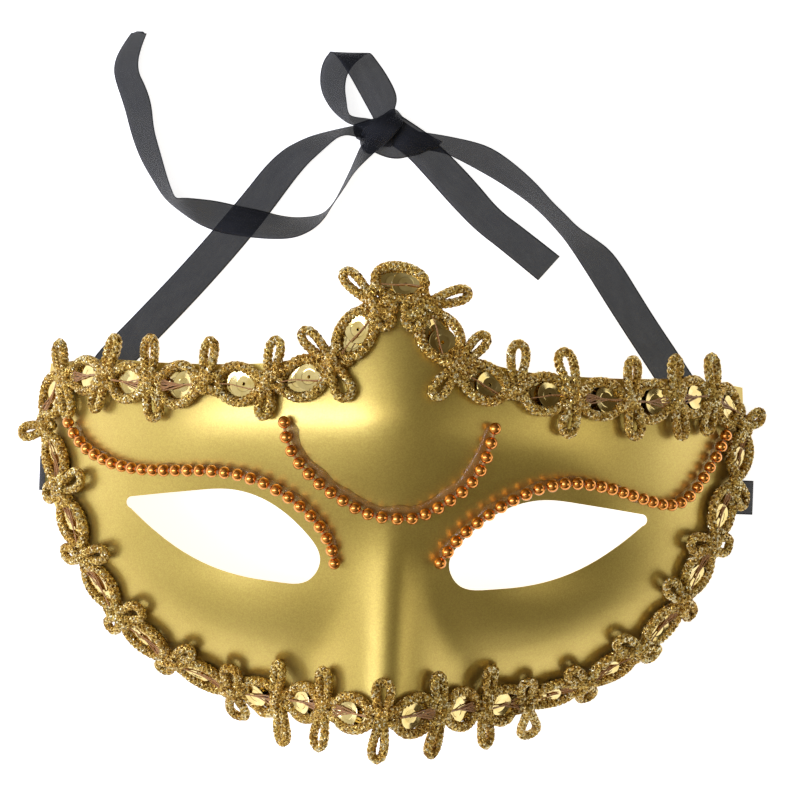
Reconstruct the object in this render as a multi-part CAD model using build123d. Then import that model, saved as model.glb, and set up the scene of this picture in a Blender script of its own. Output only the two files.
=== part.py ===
from build123d import *
from bisect import bisect_right
from math import cos, exp, hypot, pi, radians, sin, sqrt, tan
import os

# A venetian half mask lying face up on its temples' edges, with its ribbons laid out on the same table.
# +Z is the way the mask looks, +Y points to the crest, and +X is to the right of someone facing it.
# All sizes are in millimetres. The model is drawn about the nose line, and moved at the end so that
# the mask with its braid is centred on the origin.

# ---- driving dimensions: the formed shell ----
WALL = 1.0                 # sheet thickness
HALF_WIDTH = 87.0          # nose line to the temple's edge
CROWN_BROW = 58.0          # height of the brow above the table
CROWN_CHEEK = 48.0         # height of the cheeks' crown
BROW_FOOT_Y = -14.0        # where the cheek starts to rise into the brow
BROW_RISE = 40.0           # length of that rise
CHEEK_START_Y = 4.0        # below this the cheeks curve back
CHEEK_REACH = 61.0         # how far down the cheeks would reach the table
FOREHEAD_FOLD = 4.0        # soft ridge up the middle of the forehead
FOREHEAD_FOLD_WIDTH = 19.0
CREST_LEAN = 0.0035        # how fast the crest leans back
CREST_LEAN_Y = 18.0
SOCKET_DEPTH = 4.5         # hollow round each eye
SOCKET_X, SOCKET_Y = 37.0, -8.0
SOCKET_LONG, SOCKET_SHORT = 17.0, 14.0
NOSE_HEIGHT = 49.5         # ridge height at the bridge
NOSE_FALL = 0.11           # ridge slope below the bridge
NOSE_FADE = 0.30           # ridge slope above the bridge
NOSE_FLANK = 1.35          # slope of the nose's sides
RIDGE_ROUND = 8.0          # roundness of the nose's ridge
VALLEY_ROUND = 4.0         # roundness where the nose meets the face
CREST_Y = 54.0             # top of the crest
TEMPLE_Y = 33.0            # top corner of the temple
TEMPLE_LOW_Y = 6.0         # lower end of the temple's straight edge
CHIN_Y = -50.0             # lower edge under the nose

# ---- driving dimensions: bead strings ----
BEAD_RADIUS = 1.45
BEAD_PITCH = 3.3
BEAD_LIFT = 0.5            # clear height under a bead, filled by its glue dot
BEAD_THREAD_RADIUS = 0.35
BEAD_FLAT = 0.12           # depth of the flat where the thread leaves a bead
THREAD_GAP = 0.1           # play between a bead's flat and the thread that shows

# ---- driving dimensions: sequin gimp braid ----
RIGHT_UNITS, LEFT_UNITS = 16, 15    # rings on each side, beside the one on the crest
CHIN_GAP = 15.0            # between the last ring on each side, under the nose
RING_RADIUS = 4.1          # to the middle of the cord
CORD_RADIUS = 1.1
RING_LIFT = 2.3            # height of the ring's cord over the shell
PICOT_RADIUS = 1.2         # end radius of a picot, to the middle of its cord
PICOT_CORD_RADIUS = 0.9
PICOT_START = 2.3          # from the trim line to the picot's near end
OUTER_PICOT = 7.4          # length of the outer loop's middle line
INNER_PICOT = 5.6
PICOT_LIFT = 1.5
CROSSING_RADIUS = 0.8
CROSSING_PLAY = 1.2        # free length of a crossing, left where the braid turns
SEQUIN_RADIUS = 3.5
SEQUIN_THICKNESS = 0.2
SEQUIN_HOLE_RADIUS = 0.55
SEQUIN_OFFSET = 1.5        # each sequin's shift along the braid
SEQUIN_LIFTS = (0.55, 0.85)
STITCH_RADIUS = 0.22
STITCH_HALF = 2.6
GLUE_RADIUS = 1.2
GLUE_THICKNESS = 0.2
GLUE_LIFT = 0.16

# ---- driving dimensions: ribbon ----
RIBBON_WIDTH = 8.5
RIBBON_BODY = 0.4          # thickness of the plain solid that stands for the 0.15 mm ribbon
STRAP_LEVEL = 0.35         # middle of the straps over the table
TAIL_LEVEL = 1.25          # middle of the tails, which pass over the straps
RUN_SHARE = 0.45           # share of the shorter run that an arc uses on each side of its point
KNOT_AT = (-1.0, 92.0)
KNOT_LENGTH, KNOT_WIDTH, KNOT_HEIGHT = 17.0, 10.0, 4.6
KNOT_ROUND = 1.8
SWING_Y = 7.0              # both straps leave the temples here
TAB_X = 84.2               # where on the temple the ribbon's end is glued
TAB_LENGTH = 4.0           # glued length, measured up the inside of the temple
TAB_GAP = 0.4              # room for glue between tab and shell
PAD_THICKNESS = 0.2

FLOOR_GAP = 0.2            # nothing but the shell and the ribbon comes nearer the table
LOOP_GAP = 0.7             # the loop's lower edge passes over the left strap


# ---- the formed surface ----
def ramp(t):
    """0 to 1 with flat ends."""
    t = min(1.0, max(0.0, t))
    return t * t * (3 - 2 * t)


def face_height(x, y):
    """Height of the shell's outer surface over the table."""
    crown = CROWN_CHEEK + (CROWN_BROW - CROWN_CHEEK) * ramp((y - BROW_FOOT_Y) / BROW_RISE)
    below = max(0.0, CHEEK_START_Y - y) / CHEEK_REACH
    wrap = 1 - (x / HALF_WIDTH) ** 2 - below ** 2
    dome = crown * wrap * (1.25 - 0.25 * wrap)
    dome += FOREHEAD_FOLD * exp(-(x / FOREHEAD_FOLD_WIDTH) ** 2) * ramp((y + 6) / 26)
    dome -= CREST_LEAN * max(0.0, y - CREST_LEAN_Y) ** 2
    dome -= SOCKET_DEPTH * exp(-((abs(x) - SOCKET_X) / SOCKET_LONG) ** 2
                               - ((y - SOCKET_Y) / SOCKET_SHORT) ** 2)
    ridge = NOSE_HEIGHT + NOSE_FALL * min(0.0, y) - NOSE_FADE * max(0.0, y)
    nose = ridge - NOSE_FLANK * (hypot(x, RIDGE_ROUND) - RIDGE_ROUND)
    return 0.5 * (dome + nose + hypot(dome - nose, VALLEY_ROUND))


def face_normal(x, y):
    """Unit vector out of the shell."""
    step = 0.05
    slope_x = (face_height(x + step, y) - face_height(x - step, y)) / (2 * step)
    slope_y = (face_height(x, y + step) - face_height(x, y - step)) / (2 * step)
    return Vector(-slope_x, -slope_y, 1).normalized()


def on_face(x, y, lift=0.0):
    """Point at a lift over the outer surface, measured square to it."""
    return Vector(x, y, face_height(x, y)) + face_normal(x, y) * lift


def height_over_face(point):
    """Distance of a point from the outer surface, positive outside."""
    return (point.Z - face_height(point.X, point.Y)) * face_normal(point.X, point.Y).Z


SURFACE_HALF_X, SURFACE_LOW_Y, SURFACE_HIGH_Y = 95.0, -58.0, 66.0
SURFACE_STEP_X, SURFACE_STEP_Y = 2.5, 4.0
BLOCK_DEPTH = 220.0


def block_below(sink):
    """Everything below the face surface lowered by sink, measured square to the surface."""
    columns = int(2 * SURFACE_HALF_X / SURFACE_STEP_X) + 1
    rows = int((SURFACE_HIGH_Y - SURFACE_LOW_Y) / SURFACE_STEP_Y) + 1
    grid = []
    for i in range(columns):
        x = -SURFACE_HALF_X + i * SURFACE_STEP_X
        line = []
        for j in range(rows):
            y = SURFACE_LOW_Y + j * SURFACE_STEP_Y
            line.append(Vector(x, y, face_height(x, y) - sink / face_normal(x, y).Z))
        grid.append(line)
    face = Face.make_surface_from_array_of_points(grid, tol=0.01, min_deg=3, max_deg=3)
    return extrude(face, amount=BLOCK_DEPTH, dir=(0, 0, -1))


def mirrored(points):
    """Points on the right half, from the middle out, as one row from left to right."""
    return [(-x, y) for x, y in reversed(points) if x > 0] + list(points)


EDGE_X = HALF_WIDTH + 4    # the outline passes outside the temple's edge, which the table trims
UPPER_EDGE = [(0, CREST_Y), (4.5, 51.2), (9.5, 45.8), (16, 39.6), (26, 35.9), (42, 34.6), (58, 34.6),
              (72, 35.0), (82, 34.2), (EDGE_X, TEMPLE_Y)]
LOWER_EDGE = [(0, CHIN_Y), (9, -50.2), (19, -49.5), (31, -48.4), (45, -44.6), (60, -36.2), (71.5, -24.0),
              (79.6, -10.0), (84.0, -1.5), (86.4, 3.0), (EDGE_X, TEMPLE_LOW_Y)]
EYES_MIDDLE = -1.3         # the eye holes lie a little to the left of the nose line
EYE_LINE = [(62, 1.9), (54, 3.1), (46, 4.2), (38.5, 4.9), (31.5, 3.7), (25, 0.4), (19, -4.8), (15.4, -11.4),
            (18.2, -16.4), (25, -17.2), (33, -16.4), (41, -14.5), (48.5, -11.2), (55.5, -6.6), (62.2, -1.0)]
EYE_CORNER = (63.3, 0.6)   # the rounded outer corner


def shell_outline():
    upper = Spline(*mirrored(UPPER_EDGE))
    lower = Spline(*mirrored(LOWER_EDGE))
    sides = [Line((s * EDGE_X, TEMPLE_Y), (s * EDGE_X, TEMPLE_LOW_Y)) for s in (-1, 1)]
    return make_face(Wire([upper, lower, *sides]))


def eye_outline(side):
    *line, corner = [(EYES_MIDDLE + side * x, y) for x, y in [*EYE_LINE, EYE_CORNER]]
    return make_face(Wire([Spline(*line), ThreePointArc(line[-1], corner, line[0])]))


def make_shell():
    blank = block_below(0.0) & extrude(shell_outline(), amount=CROWN_BROW * 2)
    shell = blank - block_below(WALL)
    for side in (-1, 1):
        shell -= extrude(eye_outline(side), amount=CROWN_BROW * 2)
    return shell


# ---- lines drawn on the face ----
class FaceLine:
    """A smooth line over the shell, measured by its true length in space."""

    SAMPLES = 1200

    def __init__(self, points, closed=False):
        curve = Spline(*points, periodic=closed)
        flat = [curve @ (i / self.SAMPLES) for i in range(self.SAMPLES + 1)]
        self.closed = closed
        self.points = [on_face(p.X, p.Y) for p in flat]
        self.marks = [0.0]
        for a, b in zip(self.points, self.points[1:]):
            self.marks.append(self.marks[-1] + (b - a).length)
        self.length = self.marks[-1]

    def at(self, distance):
        if self.closed:
            distance %= self.length
        distance = min(max(distance, 0.0), self.length)
        i = min(bisect_right(self.marks, distance), self.SAMPLES) - 1
        share = (distance - self.marks[i]) / (self.marks[i + 1] - self.marks[i])
        p = self.points[i] + (self.points[i + 1] - self.points[i]) * share
        return on_face(p.X, p.Y)

    def frame(self, distance, reach=1.0):
        """Plane on the face: x along the line, z out of the face, y to the left of the line."""
        here = self.at(distance)
        along = self.at(distance + reach) - self.at(distance - reach)
        out = face_normal(here.X, here.Y)
        along = (along - out * along.dot(out)).normalized()
        return Plane(origin=here, x_dir=along, z_dir=out)


# ---- bead strings ----
LEFT_BROW = [(-78.9, 19.2), (-75.6, 14.6), (-68.0, 10.3), (-57.0, 9.0), (-43.5, 9.7), (-32.4, 8.3),
             (-24.0, 4.4), (-17.2, -1.3), (-12.7, -11.2)]
RIGHT_BROW = [(80.2, 21.6), (78.3, 17.4), (74.6, 11.0), (68.2, 4.8), (61.0, 5.6), (49.0, 9.1),
              (38.2, 9.4), (27.5, 5.2), (18.0, -1.7), (11.4, -10.2)]
FOREHEAD_SWAG = [(-25.3, 21.6), (-23.9, 16.0), (-18.6, 9.5), (-10.6, 3.8), (-2.4, 0.4), (5.0, 0.6),
                 (12.2, 4.4), (18.6, 10.2), (21.8, 17.2), (22.9, 21.8)]
BEAD_STRINGS = {"left_brow": LEFT_BROW, "right_brow": RIGHT_BROW, "forehead": FOREHEAD_SWAG}


def make_bead(plane):
    """A ball with two small flats where the thread leaves it, on an x-axis along the string."""
    ball = Sphere(BEAD_RADIUS)
    barrel = Box(2 * (BEAD_RADIUS - BEAD_FLAT), 3 * BEAD_RADIUS, 3 * BEAD_RADIUS)
    return plane * (ball & barrel)


def make_bead_string(points):
    """Beads, the stretches of thread that show between them, and a glue dot under each bead."""
    line = FaceLine(points)
    count = int(line.length / BEAD_PITCH) + 1
    pitch = line.length / (count - 1)
    height = BEAD_LIFT + BEAD_RADIUS
    centres = []
    for i in range(count):
        seat = line.frame(i * pitch)
        centres.append((seat, seat.origin + seat.z_dir * height))
    beads, threads, glue = [], [], []
    for i, (seat, centre) in enumerate(centres):
        before = centres[max(i - 1, 0)][1]
        after = centres[min(i + 1, count - 1)][1]
        beads.append(make_bead(Plane(origin=centre, x_dir=after - before, z_dir=seat.z_dir)))
        dot = Plane(origin=seat.origin + seat.z_dir * (GLUE_LIFT + GLUE_THICKNESS / 2), z_dir=seat.z_dir)
        glue.append(dot * Cylinder(GLUE_RADIUS * 0.7, GLUE_THICKNESS))
    inset = BEAD_RADIUS - BEAD_FLAT + THREAD_GAP
    for (_, a), (_, b) in zip(centres, centres[1:]):
        span = (b - a).length - 2 * inset
        axis = Plane(origin=(a + b) * 0.5, z_dir=b - a)
        threads.append(axis * Cylinder(BEAD_THREAD_RADIUS, span))
    return beads, threads, glue


# ---- sequin gimp braid ----
TRIM_HALF = [(0, 54.6), (5.2, 50.0), (9.4, 42.6), (14.6, 34.8), (24, 31.2), (38, 29.8), (52, 29.2), (65, 29.6),
             (76, 30.6), (83.2, 26.6), (82.2, 9.0), (76.6, -7.4), (69.0, -22.0), (58.2, -33.0), (43.9, -41.0),
             (29.3, -45.2), (17.4, -46.4), (7.4, -47.4)]


def trim_line():
    """The closed line through all ring centres, clockwise from the crest."""
    right = TRIM_HALF
    left = [(-x, y) for x, y in reversed(TRIM_HALF[1:])]
    return FaceLine(right + left, closed=True)


def lift_clear(plane, samples, need):
    """Raise a plane along its z until all its sample points are at least need over the face."""
    low = min(height_over_face(plane.from_local_coords(Vector(*p))) for p in samples)
    return plane.offset(max(0.0, need - low))


def keep_off_table(plane, reach, need):
    """Tilt a plane about its own x until the point reach along y stays above the table."""
    tip = plane.from_local_coords(Vector(0, reach, 0))
    if tip.Z >= need:
        return plane
    rise = (need - plane.origin.Z) / abs(reach)
    sign = 1 if reach > 0 else -1
    flat = Vector(plane.y_dir.X, plane.y_dir.Y, 0).normalized()
    y_dir = flat * sqrt(max(0.0, 1 - rise * rise)) + Vector(0, 0, sign * rise)
    return Plane(origin=plane.origin, x_dir=plane.x_dir, z_dir=plane.x_dir.cross(y_dir))


def make_ring(plane):
    samples = [(RING_RADIUS * cos(a * pi / 8), RING_RADIUS * sin(a * pi / 8), 0) for a in range(16)]
    seat = lift_clear(plane, samples + [(0, 0, 0)], RING_LIFT)
    seat = lift_to_table(seat, RING_RADIUS + CORD_RADIUS)
    return seat, seat * Torus(RING_RADIUS, CORD_RADIUS)


def lift_to_table(plane, radius):
    """Move a round piece up until its whole edge is above the table."""
    dip = radius * sqrt(max(0.0, 1 - plane.z_dir.Z ** 2))
    low = plane.origin.Z - dip
    if low >= FLOOR_GAP:
        return plane
    return Plane(origin=plane.origin + Vector(0, 0, FLOOR_GAP - low), x_dir=plane.x_dir, z_dir=plane.z_dir)


def make_picot(plane, length, side):
    """A long closed loop of cord lying on the face, side +1 outside the trim line and -1 inside it."""
    near = side * PICOT_START
    far = side * (PICOT_START + length)
    spots = [(dx, side * (PICOT_START + length * k / 4), 0) for k in range(5) for dx in (-PICOT_RADIUS, PICOT_RADIUS)]
    seat = lift_clear(plane, spots, PICOT_LIFT)
    seat = keep_off_table(seat, far, PICOT_CORD_RADIUS + FLOOR_GAP)
    low = min(seat.from_local_coords(Vector(*spot)).Z for spot in spots)
    rise = max(0.0, PICOT_CORD_RADIUS + FLOOR_GAP - low)
    seat = Plane(origin=seat.origin + Vector(0, 0, rise), x_dir=seat.x_dir, z_dir=seat.z_dir)
    middle = seat.from_local_coords(Vector(0, (near + far) / 2, 0))
    straight = length - 2 * PICOT_RADIUS
    path = Plane(origin=middle, x_dir=seat.y_dir, z_dir=seat.z_dir) * SlotCenterToCenter(
        straight, 2 * PICOT_RADIUS).face().outer_wire()
    start = path @ 0
    section = Plane(origin=start, z_dir=path % 0) * Circle(PICOT_CORD_RADIUS)
    return sweep(section, path=path)


def make_sequins(ring_seat):
    """Two overlapping discs under the ring's cord, with the stitch that holds them."""
    discs = []
    for shift, lift in zip((-SEQUIN_OFFSET, SEQUIN_OFFSET), SEQUIN_LIFTS):
        drop = lift - RING_LIFT
        disc = Cylinder(SEQUIN_RADIUS, SEQUIN_THICKNESS) - Cylinder(SEQUIN_HOLE_RADIUS, 1)
        discs.append(ring_seat * Pos(shift, 0, drop) * disc)
    stitch = ring_seat * Pos(0, 0, SEQUIN_LIFTS[1] - RING_LIFT + 0.5) * Rot(90, 0, 0) * Cylinder(
        STITCH_RADIUS, 2 * STITCH_HALF)
    return discs, stitch


UPPER_UNITS = 7            # rings on each side of the crest's own ring that belong to the upper length
NO_INNER_PICOT = (-8, -4, -1, 0, 2, 7, 8)    # gaps with a loop on the outside only


def make_trim():
    line = trim_line()
    half = (line.length - CHIN_GAP) / 2
    pitches = {1: half / RIGHT_UNITS, -1: half / LEFT_UNITS}
    print(f"trim line {line.length:.1f} mm, ring pitch {pitches[1]:.2f} and {pitches[-1]:.2f} mm")
    spots = [unit * pitches[1 if unit > 0 else -1] for unit in range(-LEFT_UNITS, RIGHT_UNITS + 1)]
    spots.append(spots[0] + line.length)
    kinds = ("rings", "crossings", "picots", "sequins", "stitches", "glue")
    nodes = {f"{run}_trim_{kind}": [] for run in ("upper", "lower") for kind in kinds}
    for number, unit in enumerate(range(-LEFT_UNITS, RIGHT_UNITS + 1)):
        run = "upper" if abs(unit) <= UPPER_UNITS else "lower"
        plane = line.frame(spots[number], reach=3.0)
        seat, ring = make_ring(plane)
        nodes[f"{run}_trim_rings"].append(ring)
        discs, stitch = make_sequins(seat)
        nodes[f"{run}_trim_sequins"] += discs
        nodes[f"{run}_trim_stitches"].append(stitch)
        dot = plane.offset(GLUE_LIFT + GLUE_THICKNESS / 2)
        nodes[f"{run}_trim_glue"].append(dot * Cylinder(GLUE_RADIUS, GLUE_THICKNESS))
        run = "upper" if -UPPER_UNITS <= unit < UPPER_UNITS else "lower"
        gap = line.frame((spots[number] + spots[number + 1]) / 2, reach=3.0)
        nodes[f"{run}_trim_picots"].append(make_picot(gap, OUTER_PICOT, 1))
        if unit not in NO_INNER_PICOT:
            nodes[f"{run}_trim_picots"].append(make_picot(gap, INNER_PICOT, -1))
        span = pitches[-1 if unit < 0 else 1] - 2 * (RING_RADIUS + CORD_RADIUS) - CROSSING_PLAY
        bar = gap.offset(PICOT_LIFT) * Rot(0, 90, 0) * Cylinder(CROSSING_RADIUS, span)
        nodes[f"{run}_trim_crossings"].append(bar)
    return nodes


# ---- ribbons ----
LEFT_STRAP = [(-80.8, SWING_Y), (-73.0, 34.0), (-51.0, 60.5), (-28.5, 83.5), (-8.0, 92.5)]
RIGHT_STRAP = [(80.8, SWING_Y), (70.0, 35.0), (62.2, 51.0), (43.3, 71.0), (22.5, 87.6), (6.0, 92.5)]
LEFT_TAIL = [(-8.0, 90.5), (-14.5, 79.5), (-26.0, 69.4), (-41.0, 68.6), (-56.0, 76.5), (-65.5, 92.5),
             (-70.8, 107.5), (-66.6, 117.5)]
RIGHT_TAIL = [(3.0, 90.5), (13.5, 81.2), (24.5, 71.8), (37.5, 62.4)]
BOW_LOOP = [(-6.0, 95.0), (-13.5, 97.5), (-19.5, 102.5), (-20.0, 108.5), (-15.5, 112.8), (-9.8, 110.2),
            (-5.8, 104.0), (-4.0, 95.0)]


def corner_radii(points):
    """The largest arcs that the runs beside each corner leave room for."""
    radii = []
    for before, corner, after in zip(points, points[1:], points[2:]):
        come, go = corner - before, after - corner
        half_turn = radians(come.get_angle(go)) / 2
        radii.append(RUN_SHARE * min(come.length, go.length) / tan(half_turn))
    return radii


def make_ribbon(name, route, level, standing=False):
    """A flat strip along a level route of straight runs and tangent arcs, lying flat or on its edge."""
    points = [Vector(x, y, level) for x, y in route]
    radii = corner_radii(points)
    path = FilletPolyline(*points, radius=radii).wire()
    first = points[1] - points[0]
    size = (RIBBON_BODY, RIBBON_WIDTH) if standing else (RIBBON_WIDTH, RIBBON_BODY)
    across = Vector(0, 0, 1).cross(first)
    section = Plane(origin=points[0], x_dir=across, z_dir=first) * Rectangle(*size)
    strip = sweep(section, path=path)
    ideal = path.length * RIBBON_WIDTH * RIBBON_BODY
    print(f"{name}: {path.length:.1f} mm, radii {[round(r, 1) for r in radii]}, "
          f"volume {strip.volume:.1f} of {ideal:.1f} mm3")
    return strip


def make_knot():
    blank = Box(KNOT_LENGTH, KNOT_WIDTH, KNOT_HEIGHT)
    blank = fillet(blank.edges(), KNOT_ROUND)
    return Pos(*KNOT_AT, KNOT_HEIGHT / 2 + FLOOR_GAP) * blank


def make_tab(side):
    """The ribbon's glued end inside a temple, and the glue pad between it and the shell."""
    x = side * TAB_X
    out = face_normal(x, SWING_Y)
    across = Vector(0, 1, 0)
    foot = on_face(x, SWING_Y)
    tab_seat = Plane(origin=foot - out * (WALL + TAB_GAP + RIBBON_BODY / 2), x_dir=across, z_dir=out)
    pad_seat = Plane(origin=foot - out * (WALL + TAB_GAP / 2), x_dir=across, z_dir=out)
    tab = tab_seat * Box(RIBBON_WIDTH, TAB_LENGTH, RIBBON_BODY)
    pad = pad_seat * Box(RIBBON_WIDTH * 0.7, TAB_LENGTH * 0.7, PAD_THICKNESS)
    return tab, pad


# ---- the assembly ----
nodes = {"face_shell": [make_shell()]}
for name, points in BEAD_STRINGS.items():
    beads, threads, glue = make_bead_string(points)
    nodes[f"{name}_beads"] = beads
    nodes[f"{name}_thread"] = threads
    nodes[f"{name}_glue"] = glue
nodes.update(make_trim())
for name, side in (("left", -1), ("right", 1)):
    tab, pad = make_tab(side)
    nodes[f"{name}_ribbon_tab"] = [tab]
    nodes[f"{name}_ribbon_glue"] = [pad]

# the braid's loops and rings reach farthest on every side
boxes = [solid.bounding_box() for run in ("upper", "lower") for kind in ("picots", "rings")
         for solid in nodes[f"{run}_trim_{kind}"]]
middle = Vector((min(box.min.X for box in boxes) + max(box.max.X for box in boxes)) / 2,
                (min(box.min.Y for box in boxes) + max(box.max.Y for box in boxes)) / 2, 0)
print(f"nose line and brow line move by {-middle.X:.4f}, {-middle.Y:.4f} mm")

STANDING_LEVEL = RIBBON_WIDTH / 2 + LOOP_GAP
nodes["left_ribbon_strap"] = [make_ribbon("left strap", LEFT_STRAP, STRAP_LEVEL)]
nodes["right_ribbon_strap"] = [make_ribbon("right strap", RIGHT_STRAP, STRAP_LEVEL)]
nodes["left_ribbon_tail"] = [make_ribbon("left tail", LEFT_TAIL, TAIL_LEVEL)]
nodes["right_ribbon_tail"] = [make_ribbon("right tail", RIGHT_TAIL, TAIL_LEVEL)]
nodes["bow_loop"] = [make_ribbon("loop", BOW_LOOP, STANDING_LEVEL, standing=True)]
nodes["bow_knot"] = [make_knot()]

os.makedirs("parts", exist_ok=True)
for name, solids in nodes.items():
    moved = [Pos(-middle.X, -middle.Y, 0) * solid for solid in solids]
    export_step(Compound(children=moved), f"parts/{name}.step")
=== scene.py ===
import random
from math import cos, pi, radians, sin

import bmesh
import bpy
import numpy as np
from mathutils import Matrix, Vector
from mathutils.bvhtree import BVHTree


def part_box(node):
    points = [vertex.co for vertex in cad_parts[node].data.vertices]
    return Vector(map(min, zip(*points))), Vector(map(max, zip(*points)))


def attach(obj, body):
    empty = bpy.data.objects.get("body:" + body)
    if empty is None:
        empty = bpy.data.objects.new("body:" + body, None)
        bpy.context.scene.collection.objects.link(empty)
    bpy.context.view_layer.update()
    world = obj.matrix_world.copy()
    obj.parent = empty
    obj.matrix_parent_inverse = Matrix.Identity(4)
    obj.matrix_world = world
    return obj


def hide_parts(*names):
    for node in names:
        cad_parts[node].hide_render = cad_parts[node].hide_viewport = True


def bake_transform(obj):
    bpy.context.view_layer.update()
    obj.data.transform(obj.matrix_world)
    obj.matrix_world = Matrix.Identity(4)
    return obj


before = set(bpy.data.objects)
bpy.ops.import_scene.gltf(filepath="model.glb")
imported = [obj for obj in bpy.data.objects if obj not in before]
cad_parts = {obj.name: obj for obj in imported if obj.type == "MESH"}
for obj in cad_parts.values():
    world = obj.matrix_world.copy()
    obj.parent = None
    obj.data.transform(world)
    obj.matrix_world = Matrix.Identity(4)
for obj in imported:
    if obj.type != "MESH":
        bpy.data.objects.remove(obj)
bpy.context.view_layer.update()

MM = 0.001
UP = Vector((0, 0, 1))
random.seed(7)

# The drawing's own origin: the nose line across, and 54 mm below the top of the crest.
CREST_Y = 54.0
shell_low, shell_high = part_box("face_shell")
NOSE_X = (shell_low.x + shell_high.x) / 2
BROW_Y = shell_high.y - CREST_Y * MM
ORIGIN = Vector((NOSE_X, BROW_Y, 0.0))


def place(x, y, z=0.0):
    """A point given in millimetres about the nose line, in the row frame."""
    return ORIGIN + Vector((x, y, z)) * MM


# ---------------------------------------------------------------- meshes
class Build:
    """Collects vertices and faces, then makes one piece of them."""

    def __init__(self, name):
        self.name = name
        self.verts = []
        self.faces = []

    def grid(self, rows, close_rows=False, close_columns=False):
        """Joins rows of equal length with quads."""
        start = len(self.verts)
        wide = len(rows[0])
        for row in rows:
            self.verts.extend(tuple(p) for p in row)
        last_row = len(rows) if close_rows else len(rows) - 1
        last_column = wide if close_columns else wide - 1
        for i in range(last_row):
            a, b = start + i * wide, start + (i + 1) % len(rows) * wide
            for j in range(last_column):
                k = (j + 1) % wide
                self.faces.append((a + j, a + k, b + k, b + j))
        return start

    def tube(self, rings, closed):
        """A tube through rings of points, with flat ends unless it is closed."""
        start = self.grid(rings, close_rows=closed, close_columns=True)
        if not closed:
            wide = len(rings[0])
            self.faces.append(tuple(start + j for j in range(wide)))
            end = start + (len(rings) - 1) * wide
            self.faces.append(tuple(end + j for j in reversed(range(wide))))

    def piece(self, material, smooth=True):
        """The object that all of it makes, with its faces turned outward."""
        mesh = bpy.data.meshes.new(self.name)
        mesh.from_pydata(self.verts, [], self.faces)
        mesh.validate()
        mesh.update()
        for polygon in mesh.polygons:
            polygon.use_smooth = smooth
        obj = bpy.data.objects.new(self.name, mesh)
        bpy.context.scene.collection.objects.link(obj)
        mesh.materials.append(material)
        work = bmesh.new()
        work.from_mesh(mesh)
        bmesh.ops.recalc_face_normals(work, faces=work.faces)
        work.to_mesh(mesh)
        work.free()
        return obj


def on_mask(piece, node):
    """Puts a piece in a CAD node's place on the mask."""
    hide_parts(node)
    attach(piece, "mask")


def spread(steps):
    """Evenly spaced shares from -1 to 1."""
    return [k / steps * 2 - 1 for k in range(steps + 1)]


def frames_along(points, closed, up):
    """At each point the line's direction and two square directions, the first kept near up."""
    count = len(points)
    frames = []
    for i, p in enumerate(points):
        after = points[(i + 1) % count] if closed or i < count - 1 else p
        before = points[i - 1] if closed or i > 0 else p
        along = (after - before).normalized()
        first = (up - along * up.dot(along)).normalized()
        frames.append((p, along, first, along.cross(first)))
    return frames


FEWEST_STEPS = 4


def resample(points, step, closed):
    """The same line with points about a step apart, and its length."""
    loop = points + [points[0]] if closed else points
    marks = [0.0]
    for a, b in zip(loop, loop[1:]):
        marks.append(marks[-1] + (b - a).length)
    count = max(FEWEST_STEPS, int(round(marks[-1] / step)))
    out, j = [], 0
    for i in range(count if closed else count + 1):
        want = marks[-1] * i / count
        while j < len(marks) - 2 and marks[j + 1] < want:
            j += 1
        span = marks[j + 1] - marks[j]
        share = (want - marks[j]) / span if span > 0 else 0.0
        out.append(loop[j].lerp(loop[j + 1], share))
    return out, marks[-1]


def ring_of(centre, first, second, radius, sides):
    """A circle of points across two directions."""
    return [centre + (first * cos(2 * pi * k / sides) + second * sin(2 * pi * k / sides)) * radius
            for k in range(sides)]


def thin_line(build, points, up, radius, sides):
    """A smooth round cord along a line."""
    build.tube([ring_of(p, first, second, radius, sides)
                for p, _, first, second in frames_along(points, False, up)], False)


STRANDS_EACH_WAY = 4
STRAND_SIDES = 5
CORE_SIDES = 8
BRAID_PITCH = 5.2 * MM
CORD_STEP = 0.42 * MM
# as shares of the cord's radius
CORE_SHARE = 0.66           # the core's radius, and how far out the strands run
STRAND_SHARE = 0.36         # a strand's radius
WEAVE_SHARE = 0.07          # how far a strand goes over and under those that it crosses


def braided_cord(build, points, radius, closed, up):
    """A round braid along a line: strands wound both ways over a core."""
    line, length = resample(points, CORD_STEP, closed)
    turns = max(1, round(length / BRAID_PITCH))
    spots = frames_along(line, closed, up)
    count = len(spots)
    shares = [i / count if closed else i / (count - 1) for i in range(count)]
    build.tube([ring_of(p, first, second, radius * CORE_SHARE, CORE_SIDES)
                for p, _, first, second in spots], closed)
    phase = random.uniform(0, 2 * pi)
    for way in (-1, 1):
        for strand in range(STRANDS_EACH_WAY):
            rings = []
            for share, (p, _, first, second) in zip(shares, spots):
                angle = phase + 2 * pi * (strand / STRANDS_EACH_WAY + way * turns * share)
                weave = CORE_SHARE + WEAVE_SHARE * way * cos(2 * STRANDS_EACH_WAY * angle)
                centre = p + (first * cos(angle) + second * sin(angle)) * radius * weave
                rings.append(ring_of(centre, first, second, radius * STRAND_SHARE, STRAND_SIDES))
            build.tube(rings, closed)


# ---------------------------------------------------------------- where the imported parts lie
POINT_DIGITS = 7            # corners that agree to this many decimals of a metre are one


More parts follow.
